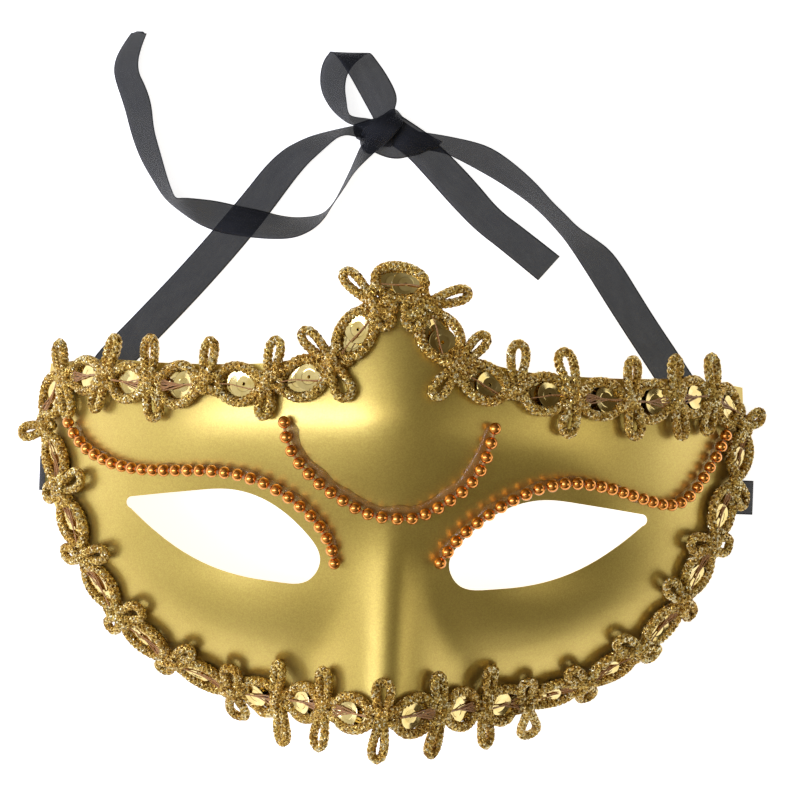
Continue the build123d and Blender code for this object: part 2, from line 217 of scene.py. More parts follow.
def loose_parts(node):
    """The corner points of each separate solid of a node, in order."""
    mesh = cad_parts[node].data
    corners = np.empty(len(mesh.vertices) * 3)
    mesh.vertices.foreach_get("co", corners)
    corners = corners.reshape(-1, 3)
    _, same = np.unique(np.round(corners, POINT_DIGITS), axis=0, return_inverse=True)
    same = same.reshape(-1)
    edges = np.empty(len(mesh.edges) * 2, dtype=np.int64)
    mesh.edges.foreach_get("vertices", edges)
    edges = same[edges.reshape(-1, 2)]
    label = np.arange(same.max() + 1)
    while True:
        low = np.minimum(label[edges[:, 0]], label[edges[:, 1]])
        before = label.copy()
        np.minimum.at(label, edges[:, 0], low)
        np.minimum.at(label, edges[:, 1], low)
        label = label[label]
        if (label == before).all():
            break
    mine = label[same]
    return [corners[mine == value] for value in dict.fromkeys(mine.tolist())]


def axes_of(part):
    """The middle of a solid and its long, middle and short directions."""
    mean = part.mean(0)
    middle = (mean + (part.min(0) + part.max(0)) / 2) / 2
    _, _, directions = np.linalg.svd(part - mean, full_matrices=False)
    return Vector(middle), [Vector(d) for d in directions]


def facing_out(normal):
    """The normal, turned to the side that is away from the table."""
    return normal if normal.z >= 0 else -normal


shell_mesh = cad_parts["face_shell"].data
shell_tree = BVHTree.FromPolygons([v.co for v in shell_mesh.vertices],
                                  [tuple(p.vertices) for p in shell_mesh.polygons])

PROBE_START = 12 * MM       # a height is measured with a ray from this far over the point
PROBE_LENGTH = 30 * MM
NEAR_SHELL = 9 * MM         # a point further off than this is past the shell's edge


def over_shell(point, normal):
    """The height of a point over the shell along a normal, or None past the shell's edge."""
    hit = shell_tree.ray_cast(point + normal * PROBE_START, -normal, PROBE_LENGTH)[0]
    return None if hit is None else (point - hit).dot(normal)


def shell_normal(point):
    return facing_out(shell_tree.find_nearest(point)[1])


def dropped_on_shell(point, normal):
    return point - normal * (over_shell(point, normal) or 0.0)


def above_table(point, lowest):
    return Vector((point.x, point.y, lowest)) if point.z < lowest else point


def lay_on_shell(points, normal, clear, lowest):
    """Puts points at a height over the shell, and none of them too near the table."""
    out = []
    for p in points:
        height = over_shell(p, normal)
        if height is not None and abs(height) < NEAR_SHELL:
            p = p + normal * (clear - height)
        out.append(above_table(p, lowest))
    return out


def lay_low(points, normal, clear):
    """Lifts only the points that are too low over the shell or the table."""
    out = []
    for p in points:
        height = over_shell(p, normal)
        if height is not None and height < clear:
            p = p + normal * (clear - height)
        out.append(above_table(p, clear))
    return out


def smoothed(points, closed, rounds):
    """Evens out the steps that laying a line on a surface leaves."""
    for _ in range(rounds):
        count = len(points)
        new = []
        for i, p in enumerate(points):
            if closed or 0 < i < count - 1:
                new.append(p * 0.5 + (points[i - 1] + points[(i + 1) % count]) * 0.25)
            else:
                new.append(p)
        points = new
    return points


# ---------------------------------------------------------------- materials
def add(tree, kind, **settings):
    """A new node; each setting is the value of an input, or else a property."""
    node = tree.nodes.new(kind)
    for key, value in settings.items():
        if key in node.inputs:
            node.inputs[key].default_value = value
        else:
            setattr(node, key, value)
    return node


def new_material(name, **settings):
    """A material with one shader; a setting's underscores stand for the spaces in its name."""
    material = bpy.data.materials.new(name)
    material.use_nodes = True
    tree = material.node_tree
    tree.nodes.clear()
    output = add(tree, "ShaderNodeOutputMaterial")
    shader = add(tree, "ShaderNodeBsdfPrincipled")
    for key, value in settings.items():
        shader.inputs[key.replace("_", " ")].default_value = value
    tree.links.new(shader.outputs[0], output.inputs[0])
    return material, tree, shader


def object_place(tree):
    return add(tree, "ShaderNodeTexCoord").outputs["Object"]


def texture(tree, kind, where, **settings):
    node = add(tree, f"ShaderNodeTex{kind}", **settings)
    tree.links.new(where, node.inputs["Vector"])
    return node.outputs


def stretched(tree, where, scale):
    node = add(tree, "ShaderNodeMapping", Scale=scale)
    tree.links.new(where, node.inputs[0])
    return node.outputs[0]


def calculate(tree, kind, operation, *values, **settings):
    """A maths node; each value is a number or another node's output."""
    node = add(tree, f"ShaderNode{kind}", operation=operation, **settings)
    for socket, value in zip(node.inputs, values):
        if isinstance(value, bpy.types.NodeSocket):
            tree.links.new(value, socket)
        else:
            socket.default_value = value
    return node.outputs


def split_colour(tree, colour):
    node = add(tree, "ShaderNodeSeparateColor")
    tree.links.new(colour, node.inputs[0])
    return node.outputs


def blended(tree, blend_type, share, first, second):
    """Two colours blended as layers are."""
    node = add(tree, "ShaderNodeMix", data_type="RGBA", blend_type=blend_type)
    node.inputs[0].default_value = share
    tree.links.new(first, node.inputs[6])
    tree.links.new(second, node.inputs[7])
    return node.outputs[2]


def ramp(tree, source, stops):
    node = add(tree, "ShaderNodeValToRGB")
    elements = node.color_ramp.elements
    while len(elements) < len(stops):
        elements.new(0.5)
    for element, (position, colour) in zip(elements, stops):
        element.position = position
        element.color = (*colour, 1.0)
    tree.links.new(source, node.inputs[0])
    return node.outputs[0]


def map_range(tree, source, low, high, source_low=0.0):
    """A value that runs from source_low to 1, spread from low to high."""
    node = add(tree, "ShaderNodeMapRange", **{"From Min": source_low, "To Min": low, "To Max": high})
    tree.links.new(source, node.inputs["Value"])
    return node.outputs[0]


def bump(tree, shader, source, distance, strength, normal=None):
    node = add(tree, "ShaderNodeBump", Strength=strength, Distance=distance)
    tree.links.new(source, node.inputs["Height"])
    if normal is not None:
        tree.links.new(normal, node.inputs["Normal"])
    tree.links.new(node.outputs[0], shader.inputs["Normal"])


def gold_paint():
    """Satin gold paint: fine flake under slow drifts of tone."""
    material, tree, shader = new_material("gold_paint", Metallic=0.85, Coat_Weight=0.30, Coat_Roughness=0.3)
    where = object_place(tree)
    drift = texture(tree, "Noise", where, Scale=28.0, Detail=3.0)[0]
    flake = texture(tree, "Voronoi", where, Scale=4200.0)
    grain = texture(tree, "Noise", where, Scale=2600.0, Detail=2.0)[0]
    tone = ramp(tree, drift, [(0.3, (0.60, 0.435, 0.092)), (0.7, (0.68, 0.505, 0.120))])
    speck = ramp(tree, split_colour(tree, flake["Color"])[0],
                 [(0.0, (0.25, 0.25, 0.25)), (1.0, (0.8, 0.8, 0.8))])
    tree.links.new(blended(tree, "OVERLAY", 0.22, tone, speck), shader.inputs["Base Color"])
    tree.links.new(map_range(tree, grain, 0.30, 0.42), shader.inputs["Roughness"])
    bump(tree, shader, flake["Distance"], 0.03 * MM, 0.35)
    return material


def glitter_cord():
    """Metallic gold film wound on thread: small facets that each catch the light their own way, with painted
    glints and painted shade in the facets' colours.
    """
    material, tree, shader = new_material("glitter_cord", Metallic=0.75)
    where = object_place(tree)
    facets = texture(tree, "Voronoi", where, Scale=1800.0)
    broad = texture(tree, "Noise", where, Scale=160.0, Detail=3.0)[0]
    parts = split_colour(tree, facets["Color"])
    # each facet's colour runs from painted shade (dark brown) to a painted glint (near white)
    colour = ramp(tree, parts[0], [(0.0, (0.20, 0.105, 0.015)), (0.25, (0.45, 0.270, 0.040)),
                                   (0.50, (0.68, 0.455, 0.095)), (0.76, (0.84, 0.650, 0.21)),
                                   (0.95, (1.0, 0.93, 0.62))])
    cast = ramp(tree, broad, [(0.35, (0.92, 0.80, 0.62)), (0.65, (1.0, 1.0, 1.0))])
    tree.links.new(blended(tree, "MULTIPLY", 1.0, colour, cast), shader.inputs["Base Color"])
    tree.links.new(map_range(tree, parts[1], 0.16, 0.5), shader.inputs["Roughness"])
    # each facet's own colour also leans its normal
    centred = calculate(tree, "VectorMath", "SUBTRACT", facets["Color"], (0.5, 0.5, 0.5))[0]
    lean = calculate(tree, "VectorMath", "SCALE", centred, Scale=0.72)[0]
    normal = add(tree, "ShaderNodeNewGeometry").outputs["Normal"]
    total = calculate(tree, "VectorMath", "ADD", normal, lean)[0]
    unit = calculate(tree, "VectorMath", "NORMALIZE", total)[0]
    bump(tree, shader, facets["Distance"], 0.12 * MM, 0.6, unit)
    return material


def one_noise(name, noise, stops, roughness, bumps, **settings):
    """A material whose tone, roughness and bumps all follow one noise."""
    material, tree, shader = new_material(name, **settings)
    cloud = texture(tree, "Noise", object_place(tree), Scale=noise[0], Detail=noise[1])[0]
    tree.links.new(ramp(tree, cloud, stops), shader.inputs["Base Color"])
    if roughness:
        tree.links.new(map_range(tree, cloud, *roughness), shader.inputs["Roughness"])
    bump(tree, shader, cloud, *bumps)
    return material


OPACITY = 0.75
SELVEDGE_OPACITY = 0.87
FLECK_DEPTH = 0.085
FLECK_MEAN = 0.072


def ribbon_taffeta():
    """Thin charcoal ribbon: ribs, cross threads, mottled tone, denser selvedges, a little see-through."""
    material, tree, shader = new_material("ribbon_taffeta", Roughness=0.6, Specular_IOR_Level=0.22,
                                          Sheen_Weight=0.04, Sheen_Roughness=0.4)
    uv = add(tree, "ShaderNodeUVMap", uv_map="along_across").outputs[0]
    warp = texture(tree, "Wave", uv, bands_direction="Y", Scale=0.9, Distortion=0.6)
    weft = texture(tree, "Wave", uv, bands_direction="X", Scale=1.1, Distortion=0.4)
    weave = calculate(tree, "Math", "MULTIPLY", warp[1], weft[1])[0]
    streak = texture(tree, "Noise", stretched(tree, uv, (0.22, 2.2, 1.0)), Scale=1.0, Detail=5.0)[0]
    tone = ramp(tree, streak, [(0.25, (0.0045, 0.0055, 0.0080)), (0.75, (0.013, 0.0145, 0.020))])
    threads = ramp(tree, weave, [(0.0, (0.0, 0.0, 0.0)), (1.0, (0.016, 0.016, 0.019))])
    tree.links.new(blended(tree, "ADD", 0.5, tone, threads), shader.inputs["Base Color"])
    # the selvedge is woven closer than the middle
    split = add(tree, "ShaderNodeSeparateXYZ")
    tree.links.new(uv, split.inputs[0])
    across = calculate(tree, "Math", "ABSOLUTE", split.outputs[1])[0]
    opacity = ramp(tree, across, [(0.0, (OPACITY,) * 3), (0.90, (OPACITY,) * 3),
                                  (0.96, (SELVEDGE_OPACITY,) * 3)])
    # light comes through the weave in fine, lengthwise flecks
    fleck = texture(tree, "Noise", stretched(tree, uv, (0.9, 9.0, 1.0)), Scale=1.0, Detail=4.0,
                    Roughness=0.7)[0]
    both = calculate(tree, "Math", "ADD", fleck, streak)[0]
    gaps = calculate(tree, "Math", "MULTIPLY_ADD", both, FLECK_DEPTH, opacity)[0]
    centred = calculate(tree, "Math", "SUBTRACT", gaps, FLECK_MEAN, use_clamp=True)[0]
    tree.links.new(centred, shader.inputs["Alpha"])
    bump(tree, shader, weave, 0.06 * MM, 0.5)
    return material


GOLD_PAINT = gold_paint()
GLITTER = glitter_cord()
TAFFETA = ribbon_taffeta()
# gold mirror film of the sequins, with faint waves
MIRROR = one_noise("mirror_film", (420.0, 2.0), [(0.3, (0.70, 0.52, 0.17)), (0.7, (0.86, 0.70, 0.32))],
                   (0.08, 0.16), (0.06 * MM, 0.25), Metallic=1.0)
# bright copper-orange plating of the beads, a little clouded
COPPER = one_noise("copper_plating", (700.0, 3.0), [(0.25, (0.62, 0.20, 0.025)), (0.6, (0.86, 0.34, 0.05)),
                                                    (0.85, (0.95, 0.50, 0.13))],
                   (0.10, 0.24), (0.06 * MM, 0.25), Metallic=1.0, Coat_Weight=0.5, Coat_Roughness=0.06)
THREAD = one_noise("copper_thread", (3000.0, 2.0), [(0.3, (0.30, 0.12, 0.02)), (0.7, (0.62, 0.30, 0.08))],
                   None, (0.05 * MM, 0.6), Roughness=0.45, Sheen_Weight=0.4)
# hot-melt glue: glossy, see-through and amber
GLUE = one_noise("hot_glue", (260.0, 3.0), [(0.3, (0.42, 0.19, 0.035)), (0.7, (0.60, 0.36, 0.11))],
                 None, (0.2 * MM, 0.4), Roughness=0.16, Alpha=0.32, Coat_Weight=0.8, Coat_Roughness=0.08)


def paint_node(node, material):
    """The look of a CAD node that is shown as it is."""
    for node_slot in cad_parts[node].material_slots:
        node_slot.material = material


# ---------------------------------------------------------------- camera, light and table
CAMERA_HEIGHT = 950.0
CAMERA_AT = (1.04, 27.55)
CAMERA_ROLL = 2.0
FIELD = 200.0              # width of table in view
SENSOR = 36.0
FARTHEST = 10.0            # metres
camera_data = bpy.data.cameras.new("camera")
camera_data.sensor_width = SENSOR
camera_data.lens = SENSOR * CAMERA_HEIGHT / FIELD
camera_data.clip_end = FARTHEST
camera = bpy.data.objects.new("camera", camera_data)
camera.location = place(*CAMERA_AT, CAMERA_HEIGHT)
camera.rotation_euler = (0.0, 0.0, radians(CAMERA_ROLL))
bpy.context.scene.collection.objects.link(camera)
bpy.context.scene.camera = camera


def area_light(name, at, aim, size, power, colour=(1, 1, 1)):
    data = bpy.data.lights.new(name, "AREA")
    data.shape = "RECTANGLE"
    data.size, data.size_y = size
    data.energy = power
    data.color = colour
    light = bpy.data.objects.new(name, data)
    light.location = at
    light.rotation_euler = (Vector(aim) - Vector(at)).to_track_quat("-Z", "Y").to_euler()
    bpy.context.scene.collection.objects.link(light)


area_light("key", (-0.76, -0.08, 0.82), (0, 0, 0.03), (0.24, 0.85), 4.6, (0.92, 1.0, 1.45))
area_light("top", (-0.30, 0.02, 1.4), (0, 0.02, 0), (0.12, 0.7), 1.2)
area_light("fill", (0.85, -0.1, 0.5), (0, 0, 0.02), (0.5, 0.5), 1.1)

BRIGHT_SIDE = Vector((-0.74, -0.14, 0.64)).normalized()
TENT_GLOW = [(0.40, (0.085, 0.066, 0.038)), (0.62, (0.160, 0.138, 0.100)),
             (0.80, (0.36, 0.34, 0.31)), (0.95, (0.85, 0.85, 0.84))]
CEILING_SHADE = [(0.90, (1.0, 1.0, 1.0)), (0.975, (0.42, 0.40, 0.37))]


def studio_world():
    """A white tent that is bright at the upper left and dim at the lower right and straight overhead."""
    world = bpy.data.worlds.new("studio")
    bpy.context.scene.world = world
    world.use_nodes = True
    tree = world.node_tree
    direction = add(tree, "ShaderNodeTexCoord").outputs["Generated"]
    towards = calculate(tree, "VectorMath", "DOT_PRODUCT", direction, BRIGHT_SIDE)["Value"]
    glow = ramp(tree, map_range(tree, towards, 0.0, 1.0, source_low=-1.0), TENT_GLOW)
    upright = add(tree, "ShaderNodeSeparateXYZ")
    tree.links.new(direction, upright.inputs[0])
    shade = ramp(tree, upright.outputs[2], CEILING_SHADE)
    tree.links.new(blended(tree, "MULTIPLY", 1.0, glow, shade), tree.nodes["Background"].inputs[0])
    tree.nodes["Background"].inputs[1].default_value = 1.0


studio_world()
bpy.context.scene.view_settings.view_transform = "Standard"

FLOOR_HALF = 3.0
FLOOR_LEVEL = -0.0003
floor = Build("floor")
floor.grid([[(x, y, FLOOR_LEVEL) for x in (-FLOOR_HALF, FLOOR_HALF)] for y in (-FLOOR_HALF, FLOOR_HALF)])
floor_material, _, _ = new_material("table", Base_Color=(0.93, 0.93, 0.93, 1), Roughness=0.6,
                                    Emission_Color=(1, 1, 1, 1), Emission_Strength=0.82)
floor_object = floor.piece(floor_material)

paint_node("face_shell", GOLD_PAINT)

# ---------------------------------------------------------------- sequin gimp braid
RUNS = ("upper", "lower")
CROSSINGS = {run: [axes_of(p) for p in loose_parts(f"{run}_trim_crossings")] for run in RUNS}
CORD_RADIUS = 1.28 * MM
PICOT_CORD_RADIUS = 1.15 * MM


def nearest_crossing(point):
    spots = [middle for run in RUNS for middle, _ in CROSSINGS[run]]
    return min(spots, key=lambda spot: (spot - point).length)


def ring_seats(run):
    """Each ring's middle, its direction along the braid and its normal."""
    discs = [axes_of(p) for p in loose_parts(f"{run}_trim_sequins")]
    seats = []
    for (a, a_axes), (b, _) in zip(discs[0::2], discs[1::2]):
        normal = facing_out(a_axes[2])
        along = b - a
        along = (along - normal * along.dot(normal)).normalized()
        seats.append(((a + b) / 2, along, normal))
    return seats


OVAL_POINTS = 40
OVAL_UNEVEN = (0.05, 0.06)  # of its length and of its width


def oval(middle, along, normal, half_long, half_short, lean):
    """A slightly uneven pointed oval of points in a plane."""
    across = normal.cross(along)
    points = []
    for i in range(OVAL_POINTS):
        t = 2 * pi * i / OVAL_POINTS
        x = half_long * cos(t) * (1 + OVAL_UNEVEN[0] * sin(3 * t + lean))
        y = half_short * sin(t) * (1 + OVAL_UNEVEN[1] * cos(2 * t + 1.7 * lean))
        points.append(middle + along * x + across * y)
    return points


RING_HALF_LONG = 5.9 * MM
RING_HALF_SHORT = 4.35 * MM
RING_LONG_SHARES = (0.94, 1.04)
RING_SHORT_SHARES = (0.94, 1.06)
RING_TURN = 0.16            # radians either way
RING_LEAN = 1.5
RING_SEAT = 0.9             # mm over the sequins' middle
RING_LIFT = 0.4             # mm at most


def make_rings(run):
    """A ring of cord round each pair of sequins, each a little different."""
    build = Build(f"{run}_braid_rings")
    for middle, along, normal in ring_seats(run):
        along = Matrix.Rotation(random.uniform(-RING_TURN, RING_TURN), 3, normal) @ along
        points = oval(middle + normal * RING_SEAT * MM, along, normal,
                      RING_HALF_LONG * random.uniform(*RING_LONG_SHARES),
                      RING_HALF_SHORT * random.uniform(*RING_SHORT_SHARES),
                      random.uniform(-RING_LEAN, RING_LEAN))
        points = lay_on_shell(points, normal, CORD_RADIUS + 0.3 * MM, CORD_RADIUS + 0.1 * MM)
        lift = random.uniform(0.0, RING_LIFT) * MM
        points = [p + normal * lift for p in smoothed(points, True, 4)]
        braided_cord(build, points, CORD_RADIUS, True, normal)
    on_mask(build.piece(GLITTER), f"{run}_trim_rings")


LOOP_STEPS = 30
LOOP_BLUNTNESS = 0.85       # 1 is a sine's own tip, less is blunter
LOOP_NECK, LOOP_BELLY = 0.72, 0.5
LOOP_ARCH = 0.25 * MM


def make_loop(build, foot, axis, normal, length, width, over):
    """One hairpin of cord, from its foot out to its rounded tip and back."""
    side = normal.cross(axis)
    points = []
    for i in range(LOOP_STEPS + 1):
        t = i / LOOP_STEPS
        share = sin(pi * t)
        out = length * share ** LOOP_BLUNTNESS
        across = -width * sin(2 * pi * t) * (LOOP_NECK + LOOP_BELLY * share)
        rise = over * (1 - share) + LOOP_ARCH * share
        points.append(foot + axis * out + side * across + normal * rise)
    points = lay_low(points, normal, PICOT_CORD_RADIUS + 0.15 * MM)
    braided_cord(build, smoothed(points, False, 3), PICOT_CORD_RADIUS, False, normal)


LOW_ON_TEMPLE = 9 * MM      # loops below this height lie folded against the temple
FOLDED_SHARE = 0.72         # as much of a folded loop's length shows
PICOT_GROWTH = 1.4 * MM     # longer than its solid, for the slack in the cord
PICOT_GROWTHS = (-0.5, 0.8)     # mm more or less than that
PICOT_TURN = 0.36           # radians either way
PICOT_ROOT = 2.4 * MM       # how far behind the crossing's middle a loop starts
PICOT_WIDTHS = (1.35, 2.0)      # mm, half the width
PICOT_OVERS = (0.4, 1.3)    # mm that its feet lie over the crossing


def make_picots(run):
    """Hairpin loops of cord that leave each crossing, outside and inside the braid."""
    build = Build(f"{run}_braid_picots")
    for part in loose_parts(f"{run}_trim_picots"):
        middle, (axis, _, normal) = axes_of(part)
        normal = facing_out(normal)
        reach = (part - part.mean(0)) @ np.array(axis)
        half = (reach.max() - reach.min()) / 2
        near = nearest_crossing(middle)
        if (middle - near).dot(axis) < 0:
            axis = -axis
        length = half + (middle - near).dot(axis) + PICOT_GROWTH + random.uniform(*PICOT_GROWTHS) * MM
        if middle.z < LOW_ON_TEMPLE:
            length *= FOLDED_SHARE
        axis = Matrix.Rotation(random.uniform(-PICOT_TURN, PICOT_TURN), 3, normal) @ axis
        foot = near - axis * PICOT_ROOT + normal * 0.2 * MM
        level = normal * max(0.0, (middle - near).dot(normal))
        make_loop(build, foot + level, axis, normal, length + 1.0 * MM, random.uniform(*PICOT_WIDTHS) * MM,
                  random.uniform(*PICOT_OVERS) * MM)
    if run == "upper":
        crest_loops(build)
    on_mask(build.piece(GLITTER), f"{run}_trim_picots")


CREST_LOOPS = ((42, 6.6), (47, 5.2))    # the height that each aims at, and its length, in mm
CREST_LOOP_WIDTH = 1.7 * MM


def crest_loops(build):
    """The bunch of short loops that hangs on the shell below the crest's ring."""
    top_two = sorted((middle for middle, _ in CROSSINGS["upper"]), key=lambda spot: -spot.y)[:2]
    for near in top_two:
        normal = shell_normal(near - Vector((0, 3 * MM, 0)))
        for height, length in CREST_LOOPS:
            aim = place(0, height)
            axis = Vector((aim.x - near.x, aim.y - near.y, 0))
            axis = (axis - normal * axis.dot(normal)).normalized()
            make_loop(build, near + normal * 0.8 * MM, axis, normal, length * MM, CREST_LOOP_WIDTH, 0.6 * MM)


CROSSING_STEPS = 12
CROSSING_HALF = 3.9 * MM
CROSSING_BEND = 2.1 * MM
CROSSING_CORDS = ((-1, 0.3), (1, 1.5))  # which way each cord bends, and the height of its arch in mm
CROSSING_CORD_RADIUS = 0.95 * CORD_RADIUS


def make_crossings(run):
    """The cords that pass over one another between two rings."""
    build = Build(f"{run}_braid_crossings")
    for middle, (along, _, _) in CROSSINGS[run]:
        normal = shell_normal(middle)
        along = (along - normal * along.dot(normal)).normalized()
        across = normal.cross(along)
        for bend, arch in CROSSING_CORDS:
            points = [middle + along * t * CROSSING_HALF + across * bend * CROSSING_BEND * sin(t * pi / 2)
                      + normal * (0.3 + arch * cos(t * pi / 2)) * MM for t in spread(CROSSING_STEPS)]
            points = lay_low(points, normal, CORD_RADIUS + 0.1 * MM)
            braided_cord(build, points, CROSSING_CORD_RADIUS, False, normal)
    on_mask(build.piece(GLITTER), f"{run}_trim_crossings")


SEQUIN_RADIUS = 3.35 * MM
SEQUIN_HOLE = 0.42 * MM
SEQUIN_THICKNESS = 0.12 * MM
SEQUIN_CUP = 0.22 * MM
SEQUIN_SIDES = 48
SEQUIN_TILT = 0.15
SEQUIN_LEVELS = (0.15 * MM, 0.75 * MM)    # the second of each pair lies over the first
# the upper face from the hole to the rim, then the lower face back: radius and height
SEQUIN_PROFILE = [(SEQUIN_HOLE, 0.0), (0.52 * SEQUIN_RADIUS, 0.0), (0.58 * SEQUIN_RADIUS, 0.25 * SEQUIN_CUP),
                  (0.96 * SEQUIN_RADIUS, SEQUIN_CUP), (SEQUIN_RADIUS, SEQUIN_CUP - SEQUIN_THICKNESS / 2),
                  (0.96 * SEQUIN_RADIUS, SEQUIN_CUP - SEQUIN_THICKNESS),
                  (0.58 * SEQUIN_RADIUS, 0.25 * SEQUIN_CUP - SEQUIN_THICKNESS),
                  (SEQUIN_HOLE, -SEQUIN_THICKNESS)]


def make_sequins(run):
    """Thin cupped discs with a centre hole, each pair overlapping by half and tilted a little."""
    build = Build(f"{run}_braid_sequins")
    for number, part in enumerate(loose_parts(f"{run}_trim_sequins")):
        middle, axes = axes_of(part)
        normal = facing_out(axes[2])
        middle = middle + normal * SEQUIN_LEVELS[number % 2]
        tilt = Vector((random.uniform(-1, 1), random.uniform(-1, 1), 0)) * SEQUIN_TILT
        normal = (normal + tilt).normalized()
        first = normal.orthogonal().normalized()
        second = normal.cross(first)
        rows = [ring_of(middle + normal * height, first, second, radius, SEQUIN_SIDES)
                for radius, height in SEQUIN_PROFILE]
        build.grid(rows, close_rows=True, close_columns=True)
    on_mask(build.piece(MIRROR, smooth=False), f"{run}_trim_sequins")


FIBRES = 9
FIBRE_RADIUS = 0.16 * MM
FIBRE_SIDES = 6
FIBRE_STEPS = 10
BARE_SEQUINS = 46 * MM      # nearer the crest than this only one fibre crosses each pair
STITCH_TURNED = 0.3         # the share of rings whose fibres are bunched at the other end
STITCH_HALF = 5.4 * MM
STITCH_FAN = 3.4 * MM
LONG_EVERY = 3              # every third fibre runs the whole way
SHORT_ENDS = (-1.6, 1.2)    # mm past the ring's middle, where the others end


def make_stitches(run):
    """Copper fibres that run over the sequins from crossing to crossing, bunched at one end."""
    build = Build(f"{run}_braid_stitches")
    for middle, along, normal in ring_seats(run):
        across = normal.cross(along)
        if random.random() < STITCH_TURNED:
            along = -along
        bare = run == "upper" and abs(middle.x - NOSE_X) < BARE_SEQUINS
        for fibre in range(1 if bare else FIBRES):
            fan = (fibre / (FIBRES - 1) - 0.5) * STITCH_FAN
            whole = fibre % LONG_EVERY == 0
            end = STITCH_HALF if whole else random.uniform(*SHORT_ENDS) * MM
            points = []
            for i in range(FIBRE_STEPS + 1):
                t = i / FIBRE_STEPS
                x = -STITCH_HALF + (end + STITCH_HALF) * t
                y = fan * (1 - t) * sin(pi * min(1.0, t + 0.35)) + 0.12 * MM * sin(9 * t + fibre)
                rise = 1.25 + 0.5 * (2 * t - 1) ** 2 - (0.0 if whole else 0.75 * t * t)
                points.append(middle + along * x + across * y + normal * rise * MM)
            thin_line(build, points, normal, FIBRE_RADIUS, FIBRE_SIDES)
    on_mask(build.piece(THREAD), f"{run}_trim_stitches")


for run in RUNS:
    make_rings(run)
    make_picots(run)
    make_crossings(run)
    make_sequins(run)
    make_stitches(run)
    paint_node(f"{run}_trim_glue", GLUE)

# ---------------------------------------------------------------- bead strings
BEAD_RADIUS = 1.5 * MM
BEAD_SIZES = (0.97, 1.03)
BEAD_LEVELS = (-0.15, 0.05)     # mm
BEAD_SIDES = 20
# along the hole and out from it, as shares of the radius, with a lip at each end
BEAD_PROFILE = ([(-1.0, 0.20), (-0.93, 0.33)]
                + [(-cos(a), sin(a)) for a in map(radians, range(24, 157, 11))]
                + [(0.93, 0.33), (1.0, 0.20)])
BEAD_THREAD_RADIUS = 0.42 * MM
BEAD_THREAD_SIDES = 8


def make_beads(name):
    """Round beads with a small lip at each end of the hole, and the thread and glue that hold them."""
    seats = [axes_of(p)[0] for p in loose_parts(f"{name}_beads")]
    normals = [shell_normal(p) for p in seats]
    beads = Build(f"{name}_bead_row")
    for i, (middle, normal) in enumerate(zip(seats, normals)):
        before, after = seats[max(i - 1, 0)], seats[min(i + 1, len(seats) - 1)]
        along = (after - before).normalized()
        first = (normal - along * normal.dot(along)).normalized()
        second = along.cross(first)
        middle = middle + normal * random.uniform(*BEAD_LEVELS) * MM
        size = BEAD_RADIUS * random.uniform(*BEAD_SIZES)
        beads.tube([ring_of(middle + along * x * size, first, second, r * size, BEAD_SIDES)
                    for x, r in BEAD_PROFILE], False)
    on_mask(beads.piece(COPPER), f"{name}_beads")

    thread = Build(f"{name}_bead_thread")
    line, _ = resample(seats, 0.8 * MM, False)
    thin_line(thread, line, normals[0], BEAD_THREAD_RADIUS, BEAD_THREAD_SIDES)
    on_mask(thread.piece(THREAD), f"{name}_thread")
    make_glue_line(name, seats)


GLUE_SHIFT = {"left_brow": 0.1, "right_brow": 0.1, "forehead": 0.9}    # towards the string's left, in mm
GLUE_HALF = {"left_brow": 0.95, "right_brow": 1.0, "forehead": 1.45}
GLUE_STEP = 0.7 * MM
GLUE_COLUMNS = 8
GLUE_HEIGHT = 0.75          # mm at its middle
GLUE_UNDER = 0.03           # mm over the shell, where its lower face is


def make_glue_line(name, seats):
    """A low, uneven bank of glue along the string."""
    build = Build(f"{name}_glue_line")
    line, _ = resample(seats, GLUE_STEP, False)
    rows = []
    count = len(line)
    for i, (p, along, _, _) in enumerate(frames_along(line, False, UP)):
        normal = shell_normal(p)
        side = normal.cross(along).normalized()
        wobble = sin(i * 0.61) * 0.5 + sin(i * 0.23 + 1.3) * 0.5
        taper = min(1.0, 0.3 + 0.25 * min(i, count - 1 - i))
        half = (GLUE_HALF[name] + 0.3 * wobble) * MM * taper
        middle = p + side * (GLUE_SHIFT[name] + 0.25 * sin(i * 0.37)) * MM
        shares = spread(GLUE_COLUMNS)
        row = []
        for t in shares:
            rise = 0.05 + (GLUE_HEIGHT + 0.15 * wobble) * (1 - t * t) ** 0.7
            row.append(dropped_on_shell(middle + side * half * t, normal) + normal * rise * MM)
        for t in shares[-2:0:-1]:
            row.append(dropped_on_shell(middle + side * half * t, normal) + normal * GLUE_UNDER * MM)
        rows.append(row)
    build.tube(rows, False)
    on_mask(build.piece(GLUE), f"{name}_glue")


for name in ("left_brow", "right_brow", "forehead"):
    make_beads(name)

# ---------------------------------------------------------------- ribbons
RIBBON_WIDTH = 8.5
RIBBON_THICKNESS = 0.16
SWING_Y = 7.0
ROUTE_SAMPLES = 18
RIBBON_COLUMNS = 12

